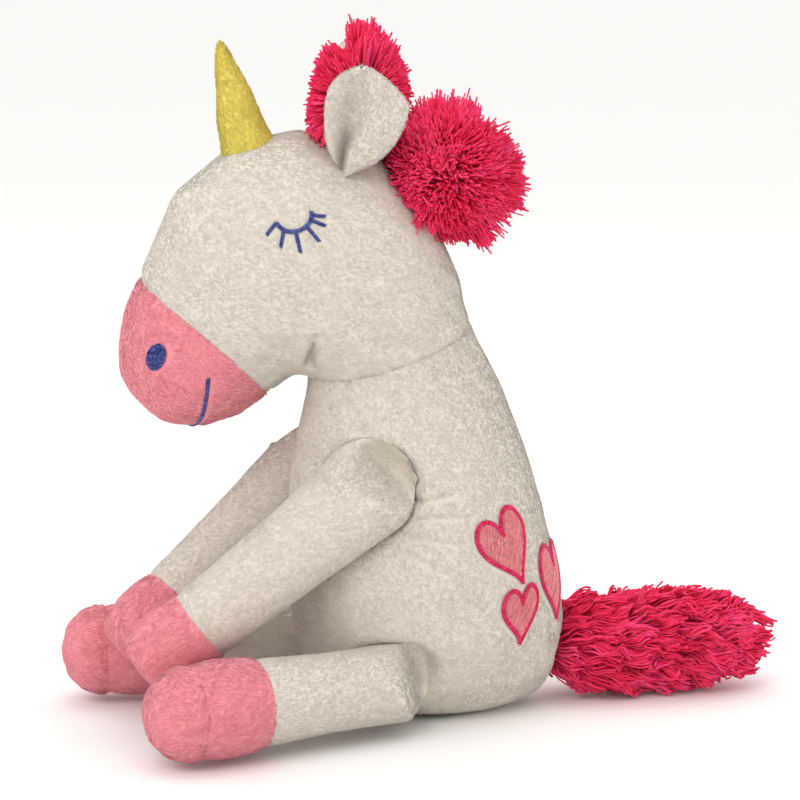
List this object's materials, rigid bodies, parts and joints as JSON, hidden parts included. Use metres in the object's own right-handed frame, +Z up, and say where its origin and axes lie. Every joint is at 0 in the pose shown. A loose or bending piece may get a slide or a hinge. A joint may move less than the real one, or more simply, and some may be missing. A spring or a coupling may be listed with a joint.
{
  "type": "plush unicorn",
  "caption": "Seated stuffed unicorn toy with soft horn, yarn mane and tail, stitched face and heart patches; legs, tail, head and ears move.",
  "frame": {"origin": "on the surface the toy sits on, below the middle of its bounding box", "axes": "the toy faces -Y; +X is towards its left side; +Z is up"},
  "size_m": [0.1826, 0.3683, 0.3566],
  "materials": {
    "white_plush": "off-white short-pile plush",
    "pink_plush": "pink short-pile plush",
    "yellow_plush": "yellow plush",
    "pink_yarn": "hot-pink fluffy yarn",
    "blue_thread": "blue satin-stitch thread",
    "heart_plush": "pink stitched fill",
    "satin_border": "crimson satin stitch",
    "fibrefill": "polyester filling",
    "pouch_cloth": "woven pouch holding beans"
  },
  "bodies": {
    "body": {"body_cover": "white_plush", "body_stuffing": "fibrefill", "seat_panel": "white_plush", "bean_pouch": "pouch_cloth", "heart_patch_large": "heart_plush", "heart_border_large": "satin_border", "heart_patch_small": "heart_plush", "heart_border_small": "satin_border", "heart_patch_rear": "heart_plush", "heart_border_rear": "satin_border"},
    "head": {"head_cover": "white_plush", "muzzle_cover": "pink_plush", "head_stuffing": "fibrefill", "horn_cover": "yellow_plush", "horn_stuffing": "fibrefill", "mane_forelock": "pink_yarn", "mane_crest": "pink_yarn", "left_eye": "blue_thread", "right_eye": "blue_thread", "left_nostril": "blue_thread", "right_nostril": "blue_thread", "mouth_line": "blue_thread"},
    "left_ear": {"left_ear_outer": "white_plush", "left_ear_lining": "white_plush"},
    "right_ear": {"right_ear_outer": "white_plush", "right_ear_lining": "white_plush"},
    "tail": {"tail_core": "white_plush", "tail_yarn": "pink_yarn"},
    "front_left_leg": {"front_left_leg_cover": "white_plush", "front_left_leg_hoof": "pink_plush", "front_left_leg_sole": "pink_plush", "front_left_leg_stuffing": "fibrefill"},
    "front_right_leg": {"front_right_leg_cover": "white_plush", "front_right_leg_hoof": "pink_plush", "front_right_leg_sole": "pink_plush", "front_right_leg_stuffing": "fibrefill"},
    "back_left_leg": {"back_left_leg_cover": "white_plush", "back_left_leg_hoof": "pink_plush", "back_left_leg_sole": "pink_plush", "back_left_leg_stuffing": "fibrefill"},
    "back_right_leg": {"back_right_leg_cover": "white_plush", "back_right_leg_hoof": "pink_plush", "back_right_leg_sole": "pink_plush", "back_right_leg_stuffing": "fibrefill"}
  },
  "joints": [
    {"name": "head_turn", "type": "hinge", "parent": "body", "child": "head", "pos_m": [0, -0.0282, 0.1895], "axis": [0, -0.3258, 0.9454], "range_deg": [-5, 34], "stiffness_Nm_per_rad": 0.3},
    {"name": "left_ear_fold", "type": "hinge", "parent": "head", "child": "left_ear", "pos_m": [0.03806, -0.05279, 0.28347], "axis": [0.5173, 0.8551, -0.0339], "range_deg": [-8, 20], "stiffness_Nm_per_rad": 0.02},
    {"name": "right_ear_fold", "type": "hinge", "parent": "head", "child": "right_ear", "pos_m": [-0.02971, -0.03622, 0.28918], "axis": [0.0658, -0.9977, -0.0152], "range_deg": [-8, 20], "stiffness_Nm_per_rad": 0.02},
    {"name": "front_left_leg_swing", "type": "hinge", "parent": "body", "child": "front_left_leg", "pos_m": [0.0438, -0.0507, 0.127], "axis": [-1, 0, 0], "range_deg": [0, 25], "stiffness_Nm_per_rad": 0.15},
    {"name": "front_right_leg_swing", "type": "hinge", "parent": "body", "child": "front_right_leg", "pos_m": [-0.0438, -0.0507, 0.127], "axis": [-1, 0, 0], "range_deg": [0, 25], "stiffness_Nm_per_rad": 0.15},
    {"name": "back_left_leg_splay", "type": "hinge", "parent": "body", "child": "back_left_leg", "pos_m": [0.046, -0.036, 0.0275], "axis": [0, 0, 1], "range_deg": [0, 35], "stiffness_Nm_per_rad": 0.15},
    {"name": "back_right_leg_splay", "type": "hinge", "parent": "body", "child": "back_right_leg", "pos_m": [-0.046, -0.0482, 0.0275], "axis": [0, 0, -1], "range_deg": [0, 35], "stiffness_Nm_per_rad": 0.15},
    {"name": "tail_wag", "type": "hinge", "parent": "body", "child": "tail", "pos_m": [0, 0.06, 0.0275], "axis": [0, 0, 1], "range_deg": [-20, 20], "stiffness_Nm_per_rad": 0.05}
  ]
}
